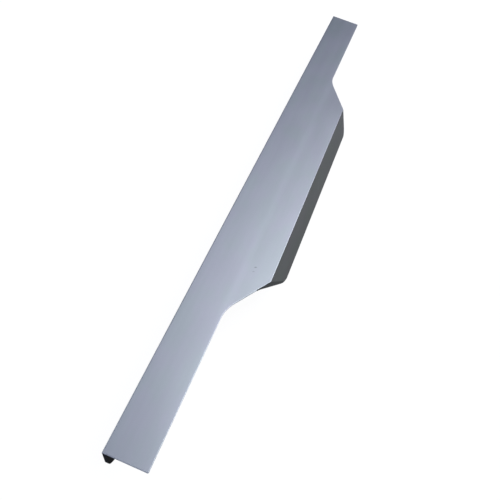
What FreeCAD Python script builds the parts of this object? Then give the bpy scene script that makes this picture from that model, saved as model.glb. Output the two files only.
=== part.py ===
import FreeCAD, Part
import math
import os

# Edge pull for a drawer front or door, millimetres.
# One aluminium extrusion: a flat plate on top of the board, a flange down its back, and a lip that turns
# down and out in front. The ends of the plate are cut back to a narrow strip through two S-curves, so that
# only the middle reaches past the board and takes the fingers.
#
# X runs along the pull, +Y points out of the back of the flange, +Z points up.
# The origin is the middle hole of the screw row, on the face of the flange that lies against the board.

Vector = FreeCAD.Vector

# Length of the cut extrusion
overall_length = 305.0

# The board that the pull sits on
board_thickness = 16.0

# Plate on the board's edge
plate_thickness = 1.0
seat_corner_radius = 0.3

# Flange behind the board
flange_thickness = 1.5
flange_height = 26.0
flange_corner_radius = 12.0
flange_foot_radius = 0.4
back_corner_radius = 0.4

# Lip in front of the board
finger_gap = 13.0
lip_length = 11.1
lip_angle = 57.2
lip_inner_angle = 45.0
lip_tip_thickness = 1.0
lip_tip_flat = 0.2
fold_outer_radius = 0.3
fold_inner_radius = 3.5

# Plan shape of the ends
shoulder_from_end = 68.5
shoulder_angle = 32.3
shoulder_inner_radius = 16.0
shoulder_outer_radius = 12.0
strip_corner_radius = 0.5

# Countersunk screw holes in the flange
screw_count = 3
screw_end_margin = 24.5
screw_below_top = 12.0
screw_hole_radius = 1.75
countersink_angle = 90.0
countersink_land = 0.4

# Deburring of the sawn and milled edges on top of the plate
edge_break = 0.2

# How far a cutting tool runs past the metal, and a length too small to matter
tool_overrun = 2.0
hair = 0.001

# Levels and lines that follow from the sizes above
plate_top = screw_below_top
plate_underside = plate_top - plate_thickness
flange_foot = plate_top - flange_height
half_length = overall_length / 2
strip_front = -board_thickness
fold_front = strip_front - finger_gap


def rounded_wire(corners):
    """A closed wire through (point, radius) corners: straight runs joined by tangent arcs."""
    stops = []
    for index, (point, radius) in enumerate(corners):
        to_last = corners[index - 1][0].sub(point).normalize()
        to_next = corners[(index + 1) % len(corners)][0].sub(point).normalize()
        if radius == 0:
            stops.append((point, None, point))
            continue
        half_angle = to_last.getAngle(to_next) / 2
        setback = radius / math.tan(half_angle)
        inward = to_last.add(to_next).normalize()
        middle = point.add(inward * (radius / math.sin(half_angle) - radius))
        stops.append((point.add(to_last * setback), middle, point.add(to_next * setback)))
    edges = []
    for index, (start, middle, end) in enumerate(stops):
        if middle:
            edges.append(Part.Arc(start, middle, end).toShape())
        following = stops[(index + 1) % len(stops)][0]
        edges.append(Part.LineSegment(end, following).toShape())
    return Part.Wire(edges)


def profile_blank():
    """The extrusion before anything is cut from it, and how far forward its lip reaches."""
    slope = math.radians(lip_angle)
    down_lip = Vector(0, -math.cos(slope), -math.sin(slope))
    into_metal = Vector(0, math.sin(slope), -math.cos(slope))
    inner_slope = math.radians(lip_inner_angle)

    fold = Vector(0, fold_front, plate_top)
    tip_outside = fold.add(down_lip * lip_length)
    tip_inside = tip_outside.add(into_metal * lip_tip_thickness)
    rise_to_plate = plate_underside - tip_inside.z
    fold_inside = tip_inside.add(Vector(0, rise_to_plate / math.tan(inner_slope), rise_to_plate))
    tip_radius = (lip_tip_thickness - lip_tip_flat) / 2

    section = rounded_wire([
        (Vector(0, flange_thickness, flange_foot), flange_foot_radius),
        (Vector(0, flange_thickness, plate_top), back_corner_radius),
        (fold, fold_outer_radius),
        (tip_outside, tip_radius),
        (tip_inside, tip_radius),
        (fold_inside, fold_inner_radius),
        (Vector(0, 0, plate_underside), seat_corner_radius),
        (Vector(0, 0, flange_foot), flange_foot_radius),
    ])
    section.translate(Vector(-half_length, 0, 0))
    return Part.Face(section).extrude(Vector(overall_length, 0, 0)), tip_outside.y


def plan_cutter(lip_front):
    """The block that the milled plan outline keeps, its upper edges broken: strip, S-curve, full width."""
    run = (strip_front - lip_front) / math.tan(math.radians(shoulder_angle))
    shoulder = half_length - shoulder_from_end
    crown = shoulder - run
    behind = flange_thickness + tool_overrun
    right = [
        (Vector(half_length, behind, 0), 0),
        (Vector(half_length, strip_front, 0), strip_corner_radius),
        (Vector(shoulder, strip_front, 0), shoulder_inner_radius),
        (Vector(crown, lip_front, 0), shoulder_outer_radius),
    ]
    left = [(Vector(-point.x, point.y, 0), radius) for point, radius in reversed(right)]
    outline = rounded_wire(right + left)
    outline.translate(Vector(0, 0, plate_top))
    block = Part.Face(outline).extrude(Vector(0, 0, -flange_height - tool_overrun))
    upper_edges = [edge for edge in block.Edges if edge.BoundBox.ZMin > plate_top - hair]
    return block.makeFillet(edge_break, upper_edges)


def elevation_cutter(lip_front):
    """The block that the cut seen from the back keeps: the flange's lower corners are rounded."""
    outline = rounded_wire([
        (Vector(half_length, 0, flange_foot), flange_corner_radius),
        (Vector(-half_length, 0, flange_foot), flange_corner_radius),
        (Vector(-half_length, 0, plate_top + tool_overrun), 0),
        (Vector(half_length, 0, plate_top + tool_overrun), 0),
    ])
    outline.translate(Vector(0, flange_thickness, 0))
    depth = flange_thickness - lip_front + tool_overrun
    return Part.Face(outline).extrude(Vector(0, -depth, 0))


def screw_hole(x):
    """A through hole along Y, countersunk from the flange's outer face down to a short land."""
    hole = Part.makeCylinder(
        screw_hole_radius, flange_thickness + 2 * tool_overrun, Vector(x, -tool_overrun, 0), Vector(0, 1, 0))
    sink_depth = flange_thickness - countersink_land + tool_overrun
    mouth = screw_hole_radius + sink_depth * math.tan(math.radians(countersink_angle / 2))
    sink = Part.makeCone(screw_hole_radius, mouth, sink_depth, Vector(x, countersink_land, 0), Vector(0, 1, 0))
    return hole.fuse(sink)


def edge_pull():
    """The finished pull: extruded, cut in plan and elevation, and drilled."""
    blank, lip_front = profile_blank()
    pull = blank.common(plan_cutter(lip_front)).common(elevation_cutter(lip_front))
    pitch = (overall_length - 2 * screw_end_margin) / (screw_count - 1)
    for number in range(screw_count):
        pull = pull.cut(screw_hole(number * pitch - half_length + screw_end_margin))
    return pull


os.makedirs("parts", exist_ok=True)
solid = edge_pull()
print("solids", len(solid.Solids), "valid", solid.isValid(), "volume", round(solid.Volume, 1))
print("box", solid.BoundBox)
solid.exportStep("parts/edge_pull.step")
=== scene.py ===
# %% [markdown]
# An edge pull for a drawer or a door: one length of extruded aluminium, cut to shape and anodised.
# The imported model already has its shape, so this lesson is about the three things that make it look real:
# the metal's finish, the light that the metal reflects, and the place from which it is seen.
# X runs along the pull, Y points out of its back and Z upwards. Lengths are written in millimetres, as a
# maker thinks of them, and MM turns them into Blender's metres.

import math

import bmesh
import bpy
from mathutils import Matrix, Vector


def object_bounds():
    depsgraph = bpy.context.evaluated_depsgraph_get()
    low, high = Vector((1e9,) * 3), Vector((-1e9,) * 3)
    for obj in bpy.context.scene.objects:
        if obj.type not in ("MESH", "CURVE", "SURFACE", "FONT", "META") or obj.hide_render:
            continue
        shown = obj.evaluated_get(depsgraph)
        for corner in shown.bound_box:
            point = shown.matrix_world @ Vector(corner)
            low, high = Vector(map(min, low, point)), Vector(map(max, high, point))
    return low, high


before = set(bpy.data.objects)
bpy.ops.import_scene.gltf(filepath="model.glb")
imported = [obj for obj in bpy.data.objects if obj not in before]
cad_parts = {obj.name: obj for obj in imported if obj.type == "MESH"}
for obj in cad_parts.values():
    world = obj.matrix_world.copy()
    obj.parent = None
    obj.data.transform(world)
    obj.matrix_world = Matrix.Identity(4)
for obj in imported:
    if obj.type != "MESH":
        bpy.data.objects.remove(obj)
cad_low, cad_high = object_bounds()
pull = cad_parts["edge_pull"]
MM = 0.001
print("the pull is", [round(side / MM, 1) for side in cad_high - cad_low], "mm, with",
      len(pull.data.polygons), "faces")

# %% [markdown]
# A shader is a net of nodes, and a long formula becomes a tangle when each node is wired by hand.
# Here a small class wraps a socket and gives it Python's own signs, so that 1 - mask or lines * 0.3 can be
# written as they are thought. Every other node comes from one method, which takes the node's settings first,
# because some settings change which sockets the node has.

# %% Shader maths written as Python
class Term:
    """One output socket that can stand in an expression."""

    def __init__(self, net, socket):
        self.net = net
        self.socket = socket

    def __add__(self, other):
        return self.net.maths("ADD", self, other)

    def __sub__(self, other):
        return self.net.maths("SUBTRACT", self, other)

    def __rsub__(self, other):
        return self.net.maths("SUBTRACT", other, self)

    def __mul__(self, other):
        return self.net.maths("MULTIPLY", self, other)

    __radd__ = __add__
    __rmul__ = __mul__


class Net:
    """A node tree that starts empty and hands out its sockets as terms."""

    def __init__(self, tree):
        self.tree = tree
        self.tree.nodes.clear()

    def node(self, kind, settings=None, sockets=None, output=0):
        """Adds one node: its settings first, then the values or links of its sockets."""
        made = self.tree.nodes.new(kind)
        for name, value in (settings or {}).items():
            setattr(made, name, value)
        for name, value in (sockets or {}).items():
            if isinstance(value, Term):
                self.tree.links.new(value.socket, made.inputs[name])
            else:
                made.inputs[name].default_value = value
        return Term(self, made.outputs[output]) if len(made.outputs) else made

    def maths(self, operation, first, second=0.0):
        return self.node("ShaderNodeMath", {"operation": operation}, {0: first, 1: second})

    def axis(self, vector, letter):
        """One coordinate of a vector."""
        return self.node("ShaderNodeSeparateXYZ", sockets={0: vector}, output=letter)

    def ramp(self, value, start, stop):
        """Goes smoothly from 0 at start to 1 at stop."""
        return self.node("ShaderNodeMapRange", {"interpolation_type": "SMOOTHSTEP"},
                         {"Value": value, "From Min": start, "From Max": stop})

    def dot(self, first, second):
        return self.node("ShaderNodeVectorMath", {"operation": "DOT_PRODUCT"},
                         {0: first, 1: second}, "Value")

    def times(self, colour, number):
        return self.node("ShaderNodeVectorMath", {"operation": "SCALE"}, {0: colour, "Scale": number})

    def plus(self, first, second):
        return self.node("ShaderNodeVectorMath", {"operation": "ADD"}, {0: first, 1: second})

    def unit(self, vector):
        """The same direction with a length of 1."""
        return self.node("ShaderNodeVectorMath", {"operation": "NORMALIZE"}, {0: vector})

    def blend(self, amount, first, second):
        """Goes from the first colour to the second."""
        return self.node("ShaderNodeMix", {"data_type": "RGBA"},
                         {"Factor": amount, "A": first, "B": second}, "Result")


print("terms and nets are ready")

# %% [markdown]
# The finish is satin anodised aluminium. Three things made it on the real pull: the die drew lines along
# the whole extrusion, the bath etched them soft and clouded them a little, and the cutter that gave the
# plate its S-curves left short upright marks on the edges that it cut. They could be painted on pictures.
# Noise that is stretched in one direction needs no picture and stays sharp from near by, so each is a noise
# pattern. Its size says in millimetres how long, wide and high its blotches are on the metal.

# %% The patterns on the metal
DIE_LINES = {"size": (400.0, 2.4, 2.4), "detail": 2.0}
FINE_LINES = {"size": (60.0, 0.22, 0.22), "detail": 3.0}
CUTTER_MARKS = {"size": (0.18, 0.18, 6.0), "detail": 1.0}
CLOUDS = {"size": (26.0, 7.0, 7.0), "detail": 3.0}
TINT_DRIFT = {"size": (17.0, 8.0, 8.0), "detail": 2.0}
STREAK_WANDER = {"size": (25.0, 400.0, 400.0), "detail": 1.0}
NOISE_MIDDLE = 0.5


def stretched_noise(net, place, pattern):
    """Noise from 0 to 1, with most of it near its middle."""
    squeeze = [1 / (side * MM) for side in pattern["size"]]
    spot = net.node("ShaderNodeMapping", {"vector_type": "POINT"}, {"Vector": place, "Scale": squeeze})
    return net.node("ShaderNodeTexNoise", {"noise_dimensions": "3D"},
                    {"Vector": spot, "Scale": 1.0, "Detail": pattern["detail"], "Roughness": 0.5})


print("the die's lines are about", DIE_LINES["size"][1], "mm wide and", DIE_LINES["size"][0], "mm long")

# %% [markdown]
# Three things on the plate aren't left to chance. One broad pale streak runs along the plate, with a darker
# one in front of it. One wide patch is a painted highlight along the front of the near strip, and two are
# painted shade, at the far crown and at the far end. And two small dents were rubbed into the wide part.
# Noise would put them anywhere, so each has its own place and size, in millimetres. A patch or a dent is an
# oval: a
# Mapping node turns and scales the metal round it until the oval is a ball, and the distance from the ball's
# middle says how far out a point lies. A streak or patch with a strength below 0 is darker than the plate.

# %% Streaks, patches of painted light and shade, and rubbed dents
PLATE_STREAKS = [
    {"across": -16.0, "half_width": 3.4, "strength": 0.034},
    {"across": -21.5, "half_width": 5.0, "strength": -0.018},
]
WANDER_REACH = 2.0
# The first patch is a painted highlight and the other two are painted shade.
LIGHT_AND_SHADE_PATCHES = [
    {"place": (-125.0, -17.0), "half_size": (50.0, 9.0), "strength": 0.04},
    {"place": (68.0, -27.0), "half_size": (24.0, 11.0), "strength": -0.075},
    {"place": (152.0, 1.0), "half_size": (40.0, 13.0), "strength": -0.06},
]
DENTS = [
    {"place": (-59.5, -20.4), "half_size": (0.85, 0.42), "strength": 0.36},
    {"place": (-61.9, -20.3), "half_size": (0.75, 0.36), "strength": 0.22},
]
DENT_TURN = math.radians(-64)
DENT_CORE = 0.3
SPOT_DEPTH = 2.0


def plate_streaks(net, place):
    """How much paler or darker the plate is along its streaks, which wander a little on their way."""
    wander = stretched_noise(net, place, STREAK_WANDER) - NOISE_MIDDLE
    across = net.axis(place, "Y") + wander * (2 * WANDER_REACH * MM)
    total = 0.0
    for streak in PLATE_STREAKS:
        offset = net.maths("ABSOLUTE", across - streak["across"] * MM)
        total = total + (1 - net.ramp(offset, 0.0, streak["half_width"] * MM)) * streak["strength"]
    return total


def soft_spots(net, place, spots, turn=0.0, core=0.0):
    """The spots' strengths, each full within its core and soft out to its edge."""
    total = 0.0
    for spot in spots:
        middle = Vector((*spot["place"], cad_high.z / MM)) * MM
        half_size = Vector((*spot["half_size"], SPOT_DEPTH)) * MM
        ball = net.node("ShaderNodeMapping", {"vector_type": "TEXTURE"},
                        {"Vector": place, "Location": middle, "Rotation": (0, 0, turn), "Scale": half_size})
        reach = net.node("ShaderNodeVectorMath", {"operation": "LENGTH"}, {0: ball}, "Value")
        total = total + (1 - net.ramp(reach, core, 1.0)) * spot["strength"]
    return total


print(len(PLATE_STREAKS), "streaks,", len(LIGHT_AND_SHADE_PATCHES), "patches and", len(DENTS), "dents have places")

# %% [markdown]
# The faces of the pull weren't all finished alike. The cutter left the S-curves paler than the drawn faces.
# The two ends, below the rim, are darkened with painted shade. The cut edge of the plate is only a
# millimetre high and was rubbed round, so it mirrors the lamp above and shows as a pale line; its colour
# gets painted shade, and a painted highlight at the two ends. The face against the board is darkened with
# painted shade.
# Each could be a material of its own, on faces that are picked by hand. A mask needs no picking: the way
# that a face points and its height tell what it is, also when the model is packed again. A turn is the share
# of a face's normal that points along one axis. The other limits are in millimetres.

# %% Where the metal differs, and where shade and highlights are painted
CUT_TURN = (0.05, 0.35)
SAWN_TURN = (0.80, 0.95)
SEAT_TURN = (-0.5, -0.9)
RIM_TURN = (0.2, 0.5)
RIM_HEIGHT = 1.0
RIM_FADE = 0.2
RIM_FRONT = (-24.9, -24.7)
SEAT_BACK = (-1.5, -0.5)
SEAT_TOP = 9.0


def metal_zones(net, place, facing):
    """Masks from 0 to 1: the cut faces, the ends, the plate's rubbed rim and the face against the board."""
    across = net.axis(place, "Y")
    height = net.axis(place, "Z")
    sideways = net.maths("ABSOLUTE", net.axis(facing, "X"))
    backward = net.axis(facing, "Y")
    level = net.maths("ABSOLUTE", net.axis(facing, "Z"))
    rim_foot = cad_high.z - RIM_HEIGHT * MM

    cut = net.ramp(sideways, *CUT_TURN)
    # The ends' mask is used only for painted shade on the ends and a painted highlight on their rim.
    sawn = net.ramp(sideways, *SAWN_TURN)
    rim = (1 - net.ramp(level, *RIM_TURN)) * (1 - net.ramp(backward, *RIM_TURN))
    rim = rim * net.ramp(height, rim_foot - RIM_FADE * MM, rim_foot)
    rim = rim * net.ramp(across, RIM_FRONT[0] * MM, RIM_FRONT[1] * MM)
    # The face against the board is used only for painted shade.
    painted_seat_shade = net.ramp(backward, *SEAT_TURN)
    painted_seat_shade = painted_seat_shade * net.ramp(across, SEAT_BACK[0] * MM, SEAT_BACK[1] * MM)
    painted_seat_shade = painted_seat_shade * net.ramp(height, rim_foot, SEAT_TOP * MM)
    return cut, sawn, rim, painted_seat_shade


print("the rubbed rim is the upper", RIM_HEIGHT, "mm of the cut edges")

# %% [markdown]
# The colour starts as a grey that drifts between a violet and a sea green tint, as thin oxide does. A shade
# then makes it paler or darker, and the same patterns make it smoother or rougher. Part of that shade is
# painted: painted shade on the ends, the rim and the face against the board, a painted highlight on the rim
# at the ends, and the patches of painted light and shade. The fine lines are too thin to be seen one by one.
# As a faint relief they spread the reflections across the pull, which is what satin metal does. On the cut
# faces the upright marks take their place. Where the rim was rubbed round, its normal leans upwards, because
# the edge is too thin to be worth a rounding of many faces.

# %% Satin anodised aluminium
SATIN_GREY = (0.570, 0.600, 0.640, 1.0)
SATIN_VIOLET = (0.588, 0.592, 0.659, 1.0)
SATIN_SEA = (0.554, 0.606, 0.622, 1.0)
GREY_SHARE = 0.35
TINT_CHANGE = (0.3, 0.7)
# The strengths for the ends, the rim and the face against the board are painted shade; on the rim at the
# ends the colour gets a painted highlight.
SHADE_BY = {"clouds": 0.10, "lines": 0.06, "cut": 0.35, "sawn": -0.75,
            "rim": -0.20, "sawn_rim": 0.68, "painted_seat_shade": -0.58}
SATIN_ROUGHNESS = 0.32
ROUGHNESS_BY = {"clouds": 0.04, "lines": 0.05, "cut": 0.05, "dents": 0.2}
FINE_SHARE = 0.6
RELIEF_DEPTH = 0.02
RELIEF_STRENGTH = 0.35
RIM_LEAN = 9.0


def satin_tint(net, place):
    """The grey with its faint drift of tint."""
    drift = stretched_noise(net, place, TINT_DRIFT)
    tint = net.blend(net.ramp(drift, *TINT_CHANGE), SATIN_VIOLET, SATIN_SEA)
    return net.blend(GREY_SHARE, tint, SATIN_GREY)


def satin_aluminium():
    """The one finish of the pull, on its drawn faces and on its cut edges, with painted light and shade in
    its colour.
    """
    material = bpy.data.materials.new("satin_aluminium_finish")
    material.use_nodes = True
    net = Net(material.node_tree)
    place = net.node("ShaderNodeTexCoord", output="Object")
    facing = net.node("ShaderNodeNewGeometry", output="Normal")
    cut, sawn, rim, painted_seat_shade = metal_zones(net, place, facing)
    dents = soft_spots(net, place, DENTS, DENT_TURN, DENT_CORE)
    die_lines = stretched_noise(net, place, DIE_LINES)
    clouded = stretched_noise(net, place, CLOUDS) - NOISE_MIDDLE
    lined = die_lines - NOISE_MIDDLE

    shade = 1 + clouded * SHADE_BY["clouds"] + lined * SHADE_BY["lines"] - dents
    # The patches are a painted highlight and painted shade.
    shade = shade + plate_streaks(net, place) + soft_spots(net, place, LIGHT_AND_SHADE_PATCHES)
    # The ends get painted shade.
    shade = shade + (1 - rim) * (cut * SHADE_BY["cut"] + sawn * SHADE_BY["sawn"])
    # The rim gets painted shade, with a painted highlight at the ends, and the face against the board gets
    # painted shade.
    shade = shade + rim * (sawn * SHADE_BY["sawn_rim"] + SHADE_BY["rim"]) + painted_seat_shade * SHADE_BY["painted_seat_shade"]
    colour = net.times(satin_tint(net, place), shade)

    gloss = SATIN_ROUGHNESS + clouded * ROUGHNESS_BY["clouds"] + lined * ROUGHNESS_BY["lines"]
    gloss = gloss + cut * ROUGHNESS_BY["cut"] + dents * ROUGHNESS_BY["dents"]

    drawn = stretched_noise(net, place, FINE_LINES) * FINE_SHARE + die_lines * (1 - FINE_SHARE)
    relief = drawn * (1 - cut) + stretched_noise(net, place, CUTTER_MARKS) * cut
    rubbed = net.unit(net.plus(facing, net.times((0.0, 0.0, RIM_LEAN), rim)))
    bumps = net.node("ShaderNodeBump", sockets={"Height": relief, "Strength": RELIEF_STRENGTH,
                                                "Distance": RELIEF_DEPTH * MM, "Normal": rubbed})

    metal = net.node("ShaderNodeBsdfPrincipled",
                     sockets={"Base Color": colour, "Metallic": 1.0, "Roughness": gloss, "Normal": bumps})
    net.node("ShaderNodeOutputMaterial", sockets={"Surface": metal})
    return material


finish = satin_aluminium()
pull.data.materials.clear()
pull.data.materials.append(finish)
print("the pull wears", finish.name, "with", len(finish.node_tree.nodes), "nodes")

# %% [markdown]
# Metal shows its surroundings, so its light could be lamps and white cards all around it. Here it is drawn
# as what lies in each direction, which has no edges to hide and is quick to tune. A broad soft lamp hangs
# above, in front and towards the far end. Weaker glows stand low around the pull, where the plate doesn't
# mirror them: they light the lip, the cut edges and the sides that face away from the lamp. Below the
# horizon the room fades to almost nothing, as under a bench, and that keeps the inside of the flange dark.
# A dark card beyond the far end takes some light away there. Each of these is strongest on its axis and
# falls off as a bell does; sharpness says how quickly.

# %% Soft studio light
KEY_LIGHT = {"towards": (0.402, -0.435, 0.806), "sharpness": 10.4, "colour": (2.96, 2.99, 3.11)}
LIP_GLOW = {"towards": (0.80, -0.58, -0.15), "sharpness": 8.0, "colour": (0.089, 0.080, 0.048)}
FRONT_GLOW = {"towards": (0.25, -0.95, 0.10), "sharpness": 5.0, "colour": (0.086, 0.085, 0.062)}
CUT_FACE_GLOW = {"towards": (0.15, -0.78, -0.60), "sharpness": 9.0, "colour": (0.085, 0.085, 0.080)}
FLANGE_GLOW = {"towards": (-0.75, 0.20, -0.60), "sharpness": 6.0, "colour": (0.02, 0.02, 0.02)}
BACK_GLOW = {"towards": (0.10, 0.90, 0.05), "sharpness": 8.0, "colour": (0.95, 0.97, 1.00)}
NEAR_END_GLOW = {"towards": (-0.95, 0.10, 0.20), "sharpness": 12.0, "colour": (0.75, 0.76, 0.78)}
GLOWS = [KEY_LIGHT, LIP_GLOW, FRONT_GLOW, CUT_FACE_GLOW, FLANGE_GLOW, BACK_GLOW, NEAR_END_GLOW]
DARK_CARD = {"towards": (0.95, 0.05, 0.30), "sharpness": 25.0, "share": 0.30}
ROOM_LIGHT = (0.081, 0.104, 0.171)
GROUND_FADE = 4.0


def soft_studio():
    """The world: a dim even room, dark below the horizon, with soft glows and a dark card in it."""
    world = bpy.data.worlds.new("soft_studio")
    world.use_nodes = True
    net = Net(world.node_tree)
    direction = net.unit(net.node("ShaderNodeTexCoord", output="Generated"))
    below = net.maths("MINIMUM", net.axis(direction, "Z"), 0.0)

    def bell(form):
        axis = Vector(form["towards"]).normalized()
        return net.maths("EXPONENT", (net.dot(direction, axis) - 1) * form["sharpness"])

    light = net.times(ROOM_LIGHT, net.maths("EXPONENT", below * GROUND_FADE))
    for glow in GLOWS:
        light = net.plus(light, net.times(glow["colour"], bell(glow)))
    light = net.times(light, 1 - bell(DARK_CARD) * DARK_CARD["share"])
    shine = net.node("ShaderNodeBackground", sockets={"Color": light, "Strength": 1.0})
    net.node("ShaderNodeOutputWorld", sockets={"Surface": shine})
    return world


scene = bpy.context.scene
scene.world = soft_studio()
scene.view_settings.view_transform = "Standard"
scene.view_settings.look = "None"
print("the studio has", len(GLOWS), "glows")

# %% [markdown]
# The pull stands on a plain white floor inside a plain white dome. One large bent sheet could be both, but
# two pieces let the floor take a very faint shadow while the dome stays evenly white. Both are only seen by
# the camera: mirror rays pass through them, because a white floor in the metal would wash out the dark lip.
# Most of the floor's whiteness is its own, as on a lit table.

# %% White floor and backdrop
FLOOR_RADIUS = 1200 * MM
DOME_RADIUS = 6000 * MM
FLOOR_PAINT = (0.14, 0.14, 0.145, 1.0)
FLOOR_GLOW = 0.95
BLACK = (0.0, 0.0, 0.0, 1.0)
WHITE = (1.0, 1.0, 1.0, 1.0)


def glowing_paint(name, colour, glow):
    """A matt paint that shines white by itself, as a lit table does."""
    material = bpy.data.materials.new(name)
    material.use_nodes = True
    net = Net(material.node_tree)
    paint = net.node("ShaderNodeBsdfPrincipled",
                     sockets={"Base Color": colour, "Roughness": 0.9, "Specular IOR Level": 0.0,
                              "Emission Color": WHITE, "Emission Strength": glow})
    net.node("ShaderNodeOutputMaterial", sockets={"Surface": paint})
    return material


def stage_piece(name, mesh_maker, material):
    """A piece of the studio: seen by the camera, unseen by the metal."""
    mesh = bpy.data.meshes.new(name)
    shape = bmesh.new()
    mesh_maker(shape)
    shape.to_mesh(mesh)
    shape.free()
    mesh.materials.append(material)
    piece = bpy.data.objects.new(name, mesh)
    scene.collection.objects.link(piece)
    piece.visible_glossy = False
    return piece


def floor_disc(shape):
    bmesh.ops.create_circle(shape, cap_ends=True, segments=96, radius=FLOOR_RADIUS,
                            matrix=Matrix.Translation((0, 0, cad_low.z)))


def dome_shell(shape):
    bmesh.ops.create_icosphere(shape, subdivisions=4, radius=DOME_RADIUS)
    bmesh.ops.reverse_faces(shape, faces=shape.faces)


stage_piece("floor", floor_disc, glowing_paint("pale_floor", FLOOR_PAINT, FLOOR_GLOW))
dome = stage_piece("backdrop", dome_shell, glowing_paint("pale_backdrop", BLACK, 1.0))
dome.visible_diffuse = False
dome.visible_shadow = False
dome.visible_transmission = False
print("the floor lies at", round(cad_low.z / MM, 2), "mm")

# %% [markdown]
# The camera looks down along the pull from beyond its near end. It could be placed by eye, but a pull that
# is seen so steeply changes its outline with every degree. So the camera's place, aim and tilt were found
# by laying the pull's outline over the one in the reference picture.

# %% The camera
CAMERA_PLACE = Vector((-183.54, -34.09, 200.81)) * MM
CAMERA_AIM = Vector((-52.01, -14.91, 12.0)) * MM
CAMERA_TILT = math.radians(15.09)
CAMERA_LENS = 37.16
SENSOR_WIDTH = 36.0
NEAREST_SEEN = 10 * MM
FARTHEST_SEEN = 20000 * MM

lens = bpy.data.cameras.new("camera")
lens.lens = CAMERA_LENS
lens.sensor_width = SENSOR_WIDTH
lens.clip_start = NEAREST_SEEN
lens.clip_end = FARTHEST_SEEN
camera = bpy.data.objects.new("camera", lens)
scene.collection.objects.link(camera)
turn = (CAMERA_AIM - CAMERA_PLACE).to_track_quat("-Z", "Y").to_matrix().to_4x4()
camera.matrix_world = Matrix.Translation(CAMERA_PLACE) @ turn @ Matrix.Rotation(CAMERA_TILT, 4, "Z")
scene.camera = camera
print("the camera is", round((CAMERA_AIM - CAMERA_PLACE).length / MM), "mm from its aim")
